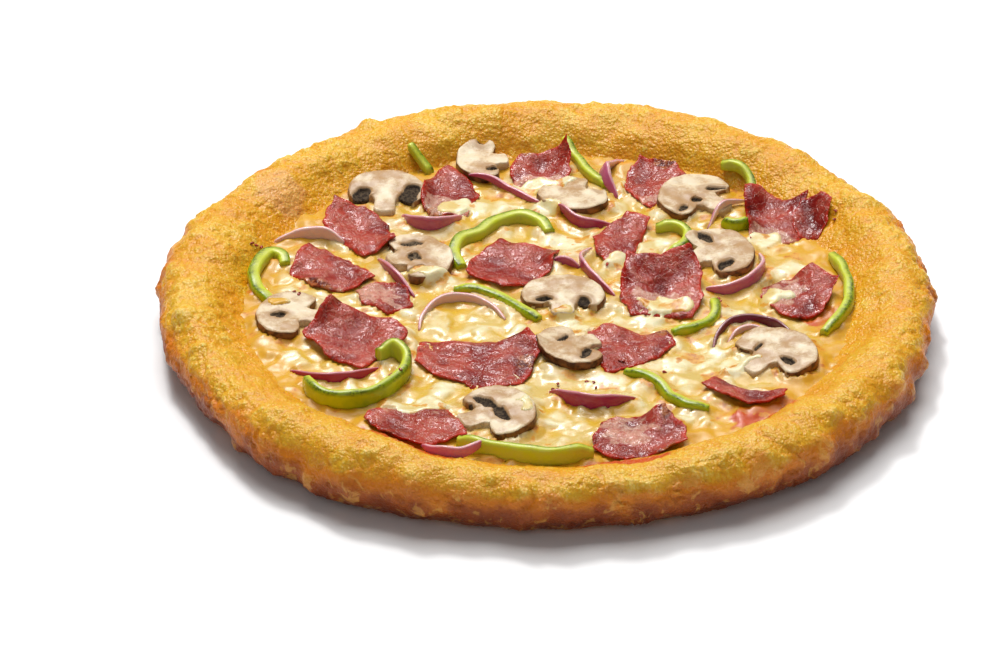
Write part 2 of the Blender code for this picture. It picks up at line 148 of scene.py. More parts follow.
class Bed:
    # top of all that has been laid so far, on cells of 1 mm

    def __init__(self, reach=150):
        self.reach = reach
        self.top = np.zeros((2 * reach + 1, 2 * reach + 1))
        self.pieces = np.zeros_like(self.top)

    def cell(self, x, y):
        i = np.clip(np.rint(x).astype(int) + self.reach, 0, 2 * self.reach)
        j = np.clip(np.rint(y).astype(int) + self.reach, 0, 2 * self.reach)
        return i, j

    def lay(self, places, piece=False):
        # pieces are kept apart too, so that the cheese knows what lies on it
        for dx, dy in ((0, 0), (0.5, 0), (-0.5, 0), (0, 0.5), (0, -0.5)):
            np.maximum.at(self.top, self.cell(places[:, 0] + dx, places[:, 1] + dy), places[:, 2])
        if piece:
            np.maximum.at(self.pieces, self.cell(places[:, 0], places[:, 1]), places[:, 2])

    def softened(self, grow, blur):
        top = self.top
        for _ in range(grow):
            top = np.maximum.reduce(neighbours(top))
        return blurred(top, blur)

    def read(self, heights, x, y):
        gx = np.clip(x + self.reach, 0, 2 * self.reach - 1.001)
        gy = np.clip(y + self.reach, 0, 2 * self.reach - 1.001)
        i, j = np.floor(gx).astype(int), np.floor(gy).astype(int)
        u, v = gx - i, gy - j
        near = heights[i, j] * (1 - v) + heights[i, j + 1] * v
        far = heights[i + 1, j] * (1 - v) + heights[i + 1, j + 1] * v
        return near * (1 - u) + far * u


def inSpots(spots, x, y, rough=0.0, size=4.0):
    # 1 inside any of the spots, fading out at their ragged edges
    # a spot is x, y, half length, half width and its turn, if it has one
    best = np.zeros(len(x))
    wobble = noiseOf(onFloor(x, y), size, 5.3) * rough if rough else 0.0
    for sx, sy, a, b, *turn in spots:
        turn = math.radians(sum(turn))
        c, s = math.cos(turn), math.sin(turn)
        u, v = (x - sx) * c + (y - sy) * s, (y - sy) * c - (x - sx) * s
        best = np.maximum(best, 1 - smooth(np.hypot(u / a, v / b) + wobble, 0.75, 1.1))
    return best


# helpers for the materials

class Shade:
    # one socket of a node tree, so that shader maths can be written as sums

    def __init__(self, look, out):
        self.look, self.out = look, out

    def use(self, operation, a, b=None, clamp=False):
        node = self.look.node("ShaderNodeMath", {"operation": operation, "use_clamp": clamp})
        self.look.feed(node.inputs[0], a)
        if b is not None:
            self.look.feed(node.inputs[1], b)
        return Shade(self.look, node.outputs[0])

    def __add__(self, other):
        return self.use("ADD", self, other)

    def __sub__(self, other):
        return self.use("SUBTRACT", self, other)

    def __rsub__(self, other):
        return self.use("SUBTRACT", other, self)

    def __mul__(self, other):
        return self.use("MULTIPLY", self, other)

    __radd__ = __add__
    __rmul__ = __mul__

    def limit(self):
        # kept between 0 and 1
        return self.use("ADD", self, 0.0, clamp=True)

    def size(self):
        return self.use("ABSOLUTE", self)

    def between(self, low, high):
        # a soft step from 0 at low to 1 at high
        node = self.look.node("ShaderNodeMapRange", {"interpolation_type": "SMOOTHSTEP"})
        for socket, value in zip(node.inputs, (self, low, high, 0.0, 1.0)):
            self.look.feed(socket, value)
        return Shade(self.look, node.outputs[0])


class Look:
    # a material and its node tree

    def __init__(self, name):
        self.material = bpy.data.materials.new(name)
        self.material.use_nodes = True
        self.tree = self.material.node_tree
        self.shader = self.tree.nodes["Principled BSDF"]
        self.place = self.node("ShaderNodeTexCoord").outputs["Object"]
        self.colour = None

    def feed(self, socket, value):
        if isinstance(value, Shade):
            self.tree.links.new(value.out, socket)
        elif isinstance(value, bpy.types.NodeSocket):
            self.tree.links.new(value, socket)
        else:
            socket.default_value = value

    def node(self, kind, settings=None, values=None):
        node = self.tree.nodes.new(kind)
        for key, value in (settings or {}).items():
            setattr(node, key, value)
        for key, value in (values or {}).items():
            self.feed(node.inputs[key], value)
        return node

    def marks(self, names):
        made = [self.node("ShaderNodeAttribute", {"attribute_name": name}) for name in names.split()]
        return [Shade(self, node.outputs["Fac"]) for node in made]

    def grain(self, size, detail=3.0, roughness=0.55, stretch=None, twist=0.0):
        # noise with features of a size in millimetres
        place = self.place
        if stretch:
            scaled = self.node("ShaderNodeVectorMath", {"operation": "MULTIPLY"}, {0: place, 1: stretch})
            place = scaled.outputs[0]
        values = {"Vector": place, "Scale": 1 / (size * mm), "Detail": detail}
        values.update({"Roughness": roughness, "Distortion": twist})
        return Shade(self, self.node("ShaderNodeTexNoise", {}, values).outputs[0])

    def cells(self, size):
        # distance to the nearest of scattered points, 0 at a point
        values = {"Vector": self.place, "Scale": 1 / (size * mm)}
        return Shade(self, self.node("ShaderNodeTexVoronoi", {"feature": "F1"}, values).outputs[0])

    def blend(self, factor, a, b):
        # colour a, and b where the factor is 1
        node = self.node("ShaderNodeMix", {"data_type": "RGBA"})
        for socket, value in zip((node.inputs[0], node.inputs[6], node.inputs[7]), (factor, a, b)):
            self.feed(socket, value)
        return Shade(self, node.outputs[2])

    def coat(self, factor, colour):
        # a colour over the colour so far
        self.colour = self.blend(factor, self.colour, colour)

    def bump(self, height, distance, strength=1.0, before=None):
        # relief of a distance in millimetres, on top of the relief before it
        values = {"Height": height, "Distance": distance * mm, "Strength": strength}
        if before is not None:
            values["Normal"] = before
        return Shade(self, self.node("ShaderNodeBump", {}, values).outputs[0])

    def done(self, roughness, normal, specular, soft=()):
        # soft: how much light goes in, how far in metres, and how far each of red, green and blue
        sockets = self.shader.inputs
        self.feed(sockets["Base Color"], self.colour)
        self.feed(sockets["Roughness"], roughness)
        if normal is not None:
            self.feed(sockets["Normal"], normal)
        sockets["Specular IOR Level"].default_value = specular
        for name, value in zip(("Weight", "Scale", "Radius"), soft):
            sockets["Subsurface " + name].default_value = value
        return self.material


# the crust

crust = {
    # lengths are in millimetres
    "steps": 900,
    "inside": 22,
    "outside": 24,
    "below": 22,
    "radius": 150.0,
    "widest": 14.0,
    "crestRadius": 136.0,
    "crest": 26.5,
    "base": 132.0,
    "dish": 117.0,
    "dishHeight": 17.0,
    # radius and height: the bread under the cheese, and the underside
    "bread": [(104, 14), (108, 14), (112, 14.5), (115, 15.6)],
    "underside": [(125, 0), (110, 0), (60, 0), (0, 0)],
    "broadSwell": 1.7,
    "broadSize": 34.0,
    "lumpSwell": 1.5,
    "lumpSize": 13.0,
    "blisters": 54,
    "blisterSize": (5.5, 10.0),
    "blisterRise": (0.8, 2.4),
    "fine": 0.5,
    "fineSize": 2.3,
    "coarse": 1.15,
    "coarseSize": 5.0,
    "wrinkle": 0.55,
    "pale": screen(232, 202, 104),
    "gold": screen(221, 170, 32),
    "orange": screen(217, 146, 12),
    "amber": screen(212, 114, 4),
    "rust": screen(174, 80, 8),
    "flake": screen(232, 178, 84),
    "brown": screen(92, 28, 4),
    "oil": screen(222, 146, 20),
    "dryTone": screen(222, 160, 96),
    "sauceRed": screen(200, 66, 0),
    # how far the rim stands out, every 15 degrees from +X
    "swell": [
        -1.3, -0.4, -0.9, -0.5, 1.3, 1.4, 1.5, 1.9, 0.6, -0.3, -0.1, 1.8,
        -0.5, -2.2, -2.2, 0.9, 1.9, -1.4, -1.9, -1.7, 0.0, 0.8, -0.3, -1.0,
    ],
    # dry spots: x, y, half length, half width, turn
    "dry": [(-103, 78, 9, 14, 30), (66, -92, 8, 4, 50)],
    # single bulges: x, y, z, size, rise
    "toes": [(-120, -88, 5, 6, 3.0), (126, -82, 6, 6, 2.5), (-149, 20, 12, 6, 1.6), (150, 15, 14, 6, 1.8)],
}


def rimPoint(a):
    # the upper outside of the rim, from the widest line at 0 to the crest at a quarter turn
    r = between(crust["crestRadius"], crust["radius"], math.cos(a))
    return r, between(crust["widest"], crust["crest"], math.sin(a))


def rimProfile():
    quarter = math.pi / 2
    profile = list(crust["bread"])
    for i in range(crust["inside"] + 1):
        t = i / crust["inside"]
        r = between(crust["dish"], crust["crestRadius"], t)
        profile.append((r, between(crust["dishHeight"], crust["crest"], math.sin(t * math.pi / 2))))
    for i in range(1, crust["outside"] + 1):
        profile.append(rimPoint(quarter * (1 - i / crust["outside"])))
    for i in range(1, crust["below"] + 1):
        a = quarter * i / crust["below"]
        r = between(crust["base"], crust["radius"], math.cos(a))
        profile.append((r, crust["widest"] * (1 - math.sin(a))))
    return profile + crust["underside"]


def blisterPlaces():
    rng = random.Random(11)
    found = []
    count = crust["blisters"]
    for i in range(count):
        turn = math.tau * (i + rng.uniform(-0.4, 0.4)) / count
        r, z = rimPoint(math.radians(rng.uniform(-20, 75)))
        centre = (r * math.cos(turn), r * math.sin(turn), z)
        found.append((centre, rng.uniform(*crust["blisterSize"]), rng.uniform(*crust["blisterRise"])))
    return found


def crustMaterial():
    look = Look("crust")
    relief, oily, low, dry, sauce, blister = look.marks("relief oily low dry sauce blister")
    patches = look.grain(13, 3)
    fine = look.grain(1.5, 4, 0.65)
    pebble = 1.0 - look.cells(1.25) * 1.6
    broad = look.grain(24, 3, 0.6)
    # orange in the hollows of the relief and the pebbles is painted shade, gold on their tops; the patches
    # give tone at random
    ground = relief * 0.7 + pebble * 0.3 + fine * 0.5 + (patches - 0.5) * 0.9 + (broad - 0.5) * 1.0
    look.colour = look.blend((ground - 0.1).between(0.0, 0.8), crust["orange"], crust["gold"])
    # pale on the tops of the relief and the pebbles is painted highlight, with tone at random
    highlightAndTone = (relief - 0.4) * 1.1 + (pebble - 0.3) * 0.8 + (fine - 0.5) * 1.0 + (patches - 0.5) * 0.8
    look.coat(highlightAndTone.between(0.0, 1.0) * 0.85, crust["pale"])
    look.coat((oily * look.grain(8, 3).between(0.3, 0.65) * 0.7).limit(), crust["oil"])
    # darker towards the floor, in three steps: browner baking there, together with painted shade on the
    # low outer wall
    lowTanAndShade = (low * 4.2 + (patches - 0.5) * 1.6 + (fine - 0.5) * 0.8).between(0.2, 1.2)
    look.coat(lowTanAndShade * 0.85, crust["amber"])
    baked = (low * 1.7 + (patches - 0.5) * 1.2 + (fine - 0.5) * 0.8 - 0.34).between(0.1, 0.9)
    look.coat(baked * 0.85, crust["rust"])
    darkest = (low * 1.6 + (patches - 0.5) * 0.6 - 0.54).limit()
    look.coat(darkest * 0.9, crust["brown"])
    flakes = (look.grain(7, 4, 0.6, twist=1.0) + blister * 0.12).between(0.56, 0.66)
    look.coat(flakes * (low * 3).limit() * (1.0 - low * 0.6) * 0.6, crust["flake"])
    look.coat(dry * 0.6, crust["dryTone"])
    wet = (sauce * 1.2 + (fine - 0.5)).limit() * 0.9 * sauce.between(0, 0.3)
    look.coat(wet, crust["sauceRed"])
    normal = look.bump(pebble, 0.26, 0.8)
    normal = look.bump(look.grain(1.9, 3, 0.6, twist=0.3), 0.75, 0.8, normal)
    rough = 0.4 - oily * 0.1 + (fine - 0.5) * 0.3
    return look.done(rough, normal, 0.33, (0.25, 0.003, (1.0, 0.45, 0.12)))


def makeCrust(bed, sauceSpots):
    mesh = spun(rimProfile(), crust["steps"])
    places = placesOf(mesh)
    normals = normalsOf(mesh)
    x, y, z = places.T
    radius = np.hypot(x, y)
    turn = np.arctan2(y, x)
    # how far the surface stands out: swells, lumps and blisters
    relief = crust["broadSwell"] * noiseOf(places, crust["broadSize"])
    relief += crust["lumpSwell"] * lumpsOf(places, crust["lumpSize"], (7, 3, 1))
    swell = crust["swell"] + crust["swell"][:1]
    relief += np.interp(turn % math.tau, np.linspace(0, math.tau, len(swell)), swell)
    blister = np.zeros(len(places))
    toes = [((tx, ty, tz), size, rise) for tx, ty, tz, size, rise in crust["toes"]]
    for centre, size, rise in blisterPlaces() + toes:
        share = np.linalg.norm(places - centre, axis=1) / size
        blister += np.where(share < 1, rise * (1 - share * share) ** 2, 0)
    # bubbles of dough: small ones everywhere, larger ones in patches and on the outside
    outer = smooth(radius, 133, 147)
    inner = 1 - smooth(radius, 118, 132)
    patchy = smooth(noiseOf(places, 14, 2.2), -0.25, 0.25)
    warp = np.column_stack([noiseOf(places, 4, shift) for shift in (1.7, 2.9, 4.3)]) * 2.2
    small = bubblesOf(places + warp, crust["fineSize"])
    large = bubblesOf(places + 2 * warp, crust["coarseSize"], 3.0)
    across = np.column_stack([turn * 60, (radius + z) * 0.28, z * 0.2])
    folds = 1 - np.abs(noiseOf(across + warp * 0.6, 1.7)) * 2.2
    leftish = smooth(-x, -30, 90)
    texture = crust["fine"] * small * (1 - 0.5 * inner)
    texture += crust["coarse"] * large * patchy * (0.55 + 0.7 * outer)
    texture += crust["wrinkle"] * folds * (0.35 + 0.65 * leftish) * (1 - 0.5 * outer)
    texture -= np.mean((texture + blister)[outer > 0.5])
    # all of it fades out where the rim meets the cheese and the floor
    fade = np.clip((radius - 116) / 8, 0, 1) * np.clip(z / 6, 0, 1)
    fadeFine = np.clip((radius - 110) / 8, 0, 1) * smooth(z, 0.5, 4)
    moved = places + normals * ((relief + blister) * fade + texture * fadeFine)[:, None]
    moved[:, 2] = np.maximum(moved[:, 2], 0)
    bed.lay(moved[radius > 105])
    deep = small * 0.5 + large * patchy * 0.45 + (folds - 0.5) * 0.35 + blister * 0.18
    marks = {
        "relief": np.clip(deep, 0, 1.3),
        "oily": inner,
        "low": (1 - smooth(z + 4 * noiseOf(places, 9, 8.1), 1, 28)) * smooth(radius, 134, 146),
        "dry": inSpots(crust["dry"], x, y, 0.5) * smooth(z, 14, 18),
        "sauce": inSpots(sauceSpots, x, y, 0.5) * smooth(-radius, -134, -124),
        "blister": np.clip(blister / 1.6, 0, 1) * smooth(radius, 138, 144),
    }
    makePiece("crust_look", mesh, moved, crustMaterial(), "crust", "crust", **marks)


# the melted cheese

cheese = {
    "reach": 121,
    "dome": 0.8,
    "lump": 1.1,
    "lumpSize": 17.0,
    "bubble": 0.7,
    "bubbleSize": 8.0,
    # heights and sizes of the blobs, beads and stretched ridges on it
    "blob": (1.5, 9.0),
    "bead": (0.5, 4.5),
    "ridge": (0.9, 11),
    "creep": 0.4,
    "clear": 1.4,
    "film": 0.25,
    "cream": screen(212, 183, 106),
    "white": screen(230, 220, 178),
    "yellow": screen(212, 168, 30),
    "orange": screen(210, 156, 16),
    "toast": screen(210, 144, 6),
    "burnt": screen(176, 96, 0),
    "shade": screen(192, 138, 16),
    "sauceRed": screen(190, 62, 0),
    # spots over toppings, of sauce and of toasted cheese: x, y, half length, half width, turn
    "over": [
        (-36, 74, 9, 6), (-1, 91, 12, 5), (84, 51, 9, 5), (45, -2, 11, 6), (87, 6, 7, 6, 20),
        (-48, -76, 12, 6, 5), (8, -9, 6, 5), (73, -44, 8, 6, 30), (-7, -80, 6, 8), (1, 72, 6, 4),
        (-47, 21, 9, 5), (-104, -2, 6, 3), (27, 34, 4, 5),
    ],
    "sauce": [
        (82, -79, 15, 8, 35), (-55, -106, 20, 10, -28), (103, -3, 8, 10), (-112, 10, 4, 3),
        (30, -118, 17, 4, 3),
    ],
    "toasts": [
        (35, -2, 5, 3), (50, -3, 5, 3), (40, 4, 3, 2), (-103, -26, 4, 4), (12, 52, 4, 3),
        (55, -38, 6, 4), (-20, 85, 4, 3), (-90, -25, 4, 3), (64, -52, 5, 3), (25, -60, 4, 3),
        (-55, 62, 3, 2), (95, 40, 4, 3), (-14, -72, 3, 2),
    ],
}


def cheeseLevel(x, y):
    flat = onFloor(x, y)
    share = np.hypot(x, y) / crust["dish"]
    lumps = cheese["lump"] * lumpsOf(flat, cheese["lumpSize"], (2, 5, 9))
    lumps += cheese["bubble"] * lumpsOf(flat, cheese["bubbleSize"], (4, 1, 3))
    dome = crust["dishHeight"] + cheese["dome"] * (1 - share * share)
    return dome + lumps * np.clip(6 * (1 - share), 0, 1) - 0.35


def cheeseMaterial():
    look = Look("cheese")
    yellow, toast, sauce, edge, blob, near = look.marks("yellow toast sauce edge blob near")
    cloud = look.grain(7, 2, 0.5)
    fleck = look.grain(2.6, 3, 0.55)
    # whiter on the tops of blobs and ridges and over toppings: the cheese's own white together with
    # painted highlight, with tone at random
    milky = (blob + (cloud - 0.5) * 0.8 + (fleck - 0.5) * 0.2).between(0.2, 0.9)
    look.colour = look.blend(milky, cheese["cream"], cheese["white"])
    oily = (yellow * 1.1 + (cloud - 0.5) * 1.2 + (fleck - 0.5) * 0.3 - 0.1).limit()
    look.coat(oily * 0.85, cheese["yellow"])
    look.coat((edge * 1.4 + (fleck - 0.5) * 0.8).limit() * 0.95, cheese["orange"])
    wet = (sauce * 1.3 + (fleck - 0.5) * 0.8).limit() * 0.95 * sauce.between(0, 0.3)
    look.coat(wet, cheese["sauceRed"])
    # darker yellow-brown around the toppings is painted contact shadow
    paintedContactShade = (near * 1.2 + (fleck - 0.5) * 1.4 - 0.2).between(0.0, 1.0)
    look.coat(paintedContactShade * 0.45, cheese["shade"])
    crisp = toast * 1.1 + (fleck - 0.5) * 3.0
    look.coat((crisp - 0.25).between(0.1, 0.7) * 0.85, cheese["toast"])
    look.coat((crisp - 0.85).between(0.1, 0.7) * 0.8, cheese["burnt"])
    normal = look.bump(look.grain(5, 2, 0.5, twist=0.5), 0.5, 0.5)
    normal = look.bump(look.grain(1.6, 2, 0.5), 0.1, 0.3, normal)
    rough = 0.26 + (cloud - 0.5) * 0.3 + toast * 0.15 + edge * 0.12
    return look.done(rough, normal, 0.4, (0.25, 0.003, (1.0, 0.7, 0.35)))


def makeCheese(bed):
    reach = cheese["reach"]
    bm = bmesh.new()
    bmesh.ops.create_grid(bm, x_segments=2 * reach, y_segments=2 * reach, size=reach)
    bmesh.ops.delete(bm, geom=[v for v in bm.verts if v.co.xy.length > reach], context="VERTS")
    mesh = meshOf("cheese", bm)
    places = placesOf(mesh)
    x, y = places[:, 0], places[:, 1]
    base = cheeseLevel(x, y)
    flat = onFloor(x, y)
    blob, blobSize = cheese["blob"]
    bead, beadSize = cheese["bead"]
    ridge, ridgeSize = cheese["ridge"]
    warp = np.column_stack([noiseOf(flat, 6, 1.1), noiseOf(flat, 6, 6.1), 0 * x]) * 3
    blobs = bubblesOf(flat + warp, blobSize, 8.0) * smooth(noiseOf(flat, 12, 9.7), -0.3, 0.2)
    beads = bubblesOf(flat + warp, beadSize, 2.0)
    ridges = smooth(1 - np.abs(noiseOf(flat + 2 * warp, ridgeSize, 4.4)) * 4, 0, 1)
    cover = inSpots(cheese["over"], x, y, 0.6, 5)
    above = bed.read(bed.softened(0, 2), x, y)
    height = base + blob * (blobs - 0.35) + bead * beads + ridge * ridges - 0.4
    # it creeps a little up the side of what lies in it, but not over it
    height += np.clip(bed.read(bed.softened(1, 3), x, y) - base, 0, 2.5) * cheese["creep"]
    # melted, so its heights are evened out
    grid = np.full_like(bed.top, crust["dishHeight"])
    grid[bed.cell(x, y)] = height
    height = bed.read(blurred(grid, 1), x, y)
    piece = bed.pieces[bed.cell(x, y)]
    height = np.where(piece > 0, np.minimum(height, piece - cheese["clear"]), height)
    height += cover * (np.clip(above - height, 0, 14) + cheese["film"] + 0.8 * blobs)
    radius = np.hypot(x, y)
    height -= smooth(radius, 112, 121) * 1.5
    places[:, 2] = height
    patch = smooth(noiseOf(flat, 15, 7.7), -0.3, 0.25)
    near = np.clip(bed.read(bed.softened(2, 4), x, y) - base, 0, 3) / 3
    toast = smooth(noiseOf(flat, 5, 12.5) + 0.35 * near, 0.5, 0.7)
    marks = {
        "yellow": np.clip(patch * (1.1 - 0.8 * blobs - 0.5 * ridges), 0, 1) * (1 - 0.6 * cover),
        "toast": np.maximum(inSpots(cheese["toasts"], x, y, 0.8, 3), toast),
        "sauce": inSpots(cheese["sauce"], x, y, 0.6),
        "edge": smooth(radius + 9 * noiseOf(flat, 14, 3.3) + 4 * noiseOf(flat, 5, 5.3), 98, 112),
        # near the toppings, where the material paints contact shadow
        "near": near * (1 - cover),
        "blob": np.clip(blobs + 0.4 * ridges + cover * 0.5, 0, 1),
    }
    makePiece("cheese_look", mesh, places, cheeseMaterial(), "cheese", "cheese", **marks)


# slices of ham

ham = {
    "thick": 1.7,
    "ragged": 0.75,
    "wrinkle": 1.7,
    "sink": 0.5,
    "points": 96,
    "rings": 16,
    "pink": screen(172, 66, 50),
    "red": screen(128, 16, 8),
    "deep": screen(70, 4, 2),
    "light": screen(222, 166, 142),
    "litThroughRed": screen(206, 40, 8),
    "tan": screen(172, 104, 54),
    "milk": screen(226, 186, 160),
    # corners: x, y and how far each one stands up
    "slices": [
        [(-82, 75, 6), (-87, 58, 3), (-83, 51, 1), (-71, 37, 0), (-58, 44, 1), (-61, 60, 3), (-70, 70, 4)],
        [(-38, 103, 3), (-47, 95, 2), (-49, 80, 0), (-45, 69, 0), (-31, 69, 0),
            (-26, 86, 1), (-31, 97, 2)],
        [(8, 113, 8), (-2, 111, 5), (-10, 110, 4), (-14, 104, 1), (-13, 91, 0), (6, 89, 0), (10, 99, 3)],
        [(36, 110, 3), (31, 102, 2), (30, 90, 0), (40, 75, 0), (48, 86, 0), (55, 98, 1), (47, 106, 2)],
        [(76, 81, 4), (83, 81, 3), (91, 77, 1), (101, 78, 2), (99, 69, 1), (98, 53, 0),
            (90, 49, 0), (78, 50, 0), (77, 65, 2)],
        [(98, 74, 1), (106, 75, 1), (110, 68, 1), (108, 60, 1), (105, 53, 0), (97, 54, 0), (95, 65, 0)],
        [(-92, 44, 4), (-97, 34, 2), (-99, 24, 0), (-88, 13, 0), (-75, 13, 0),
            (-65, 19, 0), (-76, 33, 1), (-85, 41, 2)],
        [(-74, 12, 0), (-63, 17, 0), (-53, 12, 0), (-51, 2, 0), (-61, -4, 0), (-71, 2, 0)],
        [(-83, -11, 9), (-67, -16, 5), (-57, -20, 6), (-53, -27, 5), (-57, -36, 1),
            (-71, -48, 0), (-85, -40, 2), (-94, -25, 4)],
        [(-18, 46, 3), (-29, 33, 1), (-32, 22, 2), (-17, 11, 1), (-5, 15, 1), (2, 26, 1),
            (5, 40, 3), (-7, 42, 2)],
        [(31, 67, 3), (24, 57, 1), (18, 52, 0), (19, 40, 0), (23, 30, 0), (33, 36, 0),
            (37, 50, 1), (40, 62, 2)],
        [(31, 26, 10), (44, 24, 9), (55, 29, 11), (60, 17, 5), (60, 2, 1), (56, -9, 0),
            (32, -8, 0), (28, 6, 1), (28, 17, 5)],
        [(102, 22, 6), (94, 20, 1), (84, 19, 0), (82, 7, 0), (88, -4, 0), (96, -10, 1),
            (106, -5, 2), (112, 12, 5)],
        [(-49, -27, 1), (-35, -29, 1), (-20, -29, 1), (-7, -26, 6), (-2, -36, 4),
            (-6, -50, 2), (-11, -61, 1), (-25, -61, 0), (-42, -55, 1), (-51, -44, 1)],
        [(15, -21, 1), (25, -17, 1), (36, -22, 0), (45, -19, 1), (49, -30, 1),
            (44, -39, 0), (34, -45, 0), (22, -50, 0), (18, -37, 0)],
        [(-62, -77, 1), (-50, -74, 0), (-38, -77, 0), (-32, -89, 1), (-31, -99, 1),
            (-47, -107, 2), (-60, -101, 3), (-71, -85, 2)],
        [(45, -84, 8), (36, -84, 2), (23, -85, 0), (17, -97, 0), (17, -108, 0),
            (25, -114, 0), (43, -113, 0), (53, -107, 1), (53, -96, 3)],
        [(63, -55, 2), (73, -61, 1), (84, -65, 1), (92, -66, 2), (91, -72, 3),
            (77, -77, 3), (66, -70, 3), (59, -62, 2)],
    ],
    # thin cheese that lies on the ham: x, y, half length, half width, turn
    "films": [
        (90, 8, 10, 9, 20), (30, -96, 10, 11), (-50, -76, 14, 7, 5), (45, 2, 12, 7),
        (-38, 76, 10, 8), (-2, 93, 13, 6), (84, 52, 11, 6), (-66, 8, 12, 8),
        (42, 82, 6, 5), (80, 12, 6, 6),
    ],
    # edges that the oven has turned tan
    "tans": [
        (-88, -8, 5, 10, 75), (-18, -24, 14, 5), (-3, -46, 4, 14, 80), (48, -20, 7, 5),
        (-7, 112, 8, 3), (-90, 16, 9, 3, -30), (-45, 72, 8, 4), (46, 106, 5, 5),
        (50, -113, 8, 3), (-66, -98, 8, 3, -40), (45, -84, 3, 9),
    ],
    # crumbs: x, y and how far they scatter
    "bits": [
        (68, 2, 3), (47, -46, 4), (2, -60, 3), (-112, 42, 3), (-95, 5, 3), (16, -57, 4),
        (-58, -62, 3), (112, 62, 3), (30, -40, 3),
    ],
}


def hamMaterial():
    look = Look("ham")
    edge, film, high, tan = look.marks("edge film high tan")
    cloud = look.grain(14, 3, 0.5, twist=0.5)
    # thin lines where the noise crosses its middle
    web = (1.0 - (look.grain(4.5, 3, 0.6, twist=0.6) - 0.5).size() * 20).limit()
    fibre = look.grain(1.2, 4, 0.7)
    # pinker where the folds stand high: painted light, with tone at random
    pinkish = (cloud * 1.3 + high * 0.5 + (fibre - 0.5) * 0.5 - 0.4).between(0.25, 0.75)
    look.colour = look.blend(pinkish, ham["red"], ham["pink"])
    # pale veins, and painted sheen where the folds stand high
    veinsAndSheen = (web * 0.4 + (fibre - 0.5) * 0.3) * (cloud * 1.2 + high - 0.6).limit()
    look.coat(veinsAndSheen, ham["light"])
    # deep red in the low parts of the folds is painted shade
    look.coat((0.4 - high).limit() * 1.8, ham["deep"])
    # at the edges: dark red, with bright red painted where light shines through the thin slice
    rim = look.blend(look.grain(5).between(0.3, 0.5), ham["deep"], ham["litThroughRed"])
    look.coat((edge + (fibre - 0.5) * 0.15).between(0.84, 0.98) * 0.5, rim)
    seared = look.blend(look.grain(3).between(0.4, 0.6), ham["deep"], ham["tan"])
    baked = (tan * 1.2 + (fibre - 0.5) * 1.4).limit() * 0.8 * tan.between(0, 0.3)
    look.coat(baked, seared)
    milky = (film * 1.1 + (look.grain(2.2, 4, 0.65) - 0.5) * 2.6 - 0.25).between(0.1, 1.0)
    look.coat(milky * 0.5, ham["milk"])
    normal = look.bump(look.grain(8, 3, 0.5, twist=0.5), 1.6, 0.5)
    normal = look.bump(web, 0.3, 0.6, normal)
    normal = look.bump(look.grain(2.0, 3, 0.6), 0.7, 0.6, normal)
    rough = 0.18 + (fibre - 0.5) * 0.2
    return look.done(rough, normal, 0.3, (0.15, 0.002))


def ringOf(corners, count):
    # points spread evenly round a closed line of corners
    corners = np.array(corners, dtype=float)
    following = np.roll(corners, -1, axis=0)
    lengths = np.linalg.norm((following - corners)[:, :2], axis=1)
    ends = np.concatenate([[0], np.cumsum(lengths)])
    found = np.empty((count, corners.shape[1]))
    for k, want in enumerate(np.linspace(0, ends[-1], count, endpoint=False)):
        i = min(np.searchsorted(ends, want, side="right") - 1, len(corners) - 1)
        t = (want - ends[i]) / lengths[i]
        found[k] = corners[i] * (1 - t) + following[i] * t
    return found


def slab(ring, rings):
    # closed flat piece inside the ring; gives its mesh and its places,
    # and for each vertex its share out to the ring and its height from 0 to 1
    profile = [(0, 0), (0.5, 0), (0.9, 0), (0.985, 0.15), (1.0, 0.5), (0.985, 0.85)]
    profile += [(0.96 * (1 - i / rings), 1) for i in range(rings + 1)]
    mesh = spun(profile, len(ring))
    unit = placesOf(mesh)
    share = np.hypot(unit[:, 0], unit[:, 1])
    k = np.rint(np.arctan2(unit[:, 1], unit[:, 0]) / math.tau * len(ring)).astype(int) % len(ring)
    middle = ring.mean(axis=0)
    places = middle + (ring[k] - middle) * share[:, None]
    return mesh, places, share, unit[:, 2]


def makeHam(name, corners, bed, material):
    ring = ringOf(corners, ham["points"])
    area = sum(a[0] * b[1] - a[1] * b[0] for a, b in zip(ring, np.roll(ring, -1, axis=0)))
    if area < 0:
        ring = ring[::-1]
    flat = onFloor(ring[:, 0], ring[:, 1])
    away = ring[:, :2] - ring[:, :2].mean(axis=0)
    away /= np.linalg.norm(away, axis=1)[:, None]
    ragged = noiseOf(flat, 5.5, 2.1) * ham["ragged"] * 1.6 + noiseOf(flat, 1.6, 6.4) * ham["ragged"] * 0.7
    ring[:, :2] += away * ragged[:, None]
    mesh, places, share, level = slab(ring, ham["rings"])
    x, y = places[:, 0].copy(), places[:, 1].copy()
    lift = places[:, 2] * share ** 0.9
    flat = onFloor(x, y)
    # folds in three sizes
    folds = 1.1 * noiseOf(flat * (1.0, 0.7, 1.0), 13, 0.7)
    folds += 0.3 * (0.3 - np.abs(noiseOf(flat, 8, 1.9))) * 2
    folds += 0.12 * noiseOf(flat, 3.0, 4.2)
    crumple = ham["wrinkle"] * folds * (0.6 + 0.7 * share)
    crumple += 0.8 * smooth(share, 0.85, 1.0) * noiseOf(flat, 5, 7.1)
    below = bed.read(bed.softened(1, 4), x, y)
    thick = ham["thick"] * (1 - 0.35 * smooth(share, 0.7, 1.0))
    places[:, 2] = below - ham["sink"] + lift + crumple + thick * level
    bed.lay(places, True)
    marks = {
        "edge": share,
        "film": inSpots(ham["films"], x, y, 0.9, 4),
        # how high the folds stand; the material paints sheen and shade from it
        "high": np.clip(0.5 + 0.5 * folds, 0, 1),
        "tan": inSpots(ham["tans"], x, y, 0.5, 4) * smooth(share, 0.5, 0.9),
    }
    makePiece(name + "_look", mesh, places, material, "ham", name, **marks)


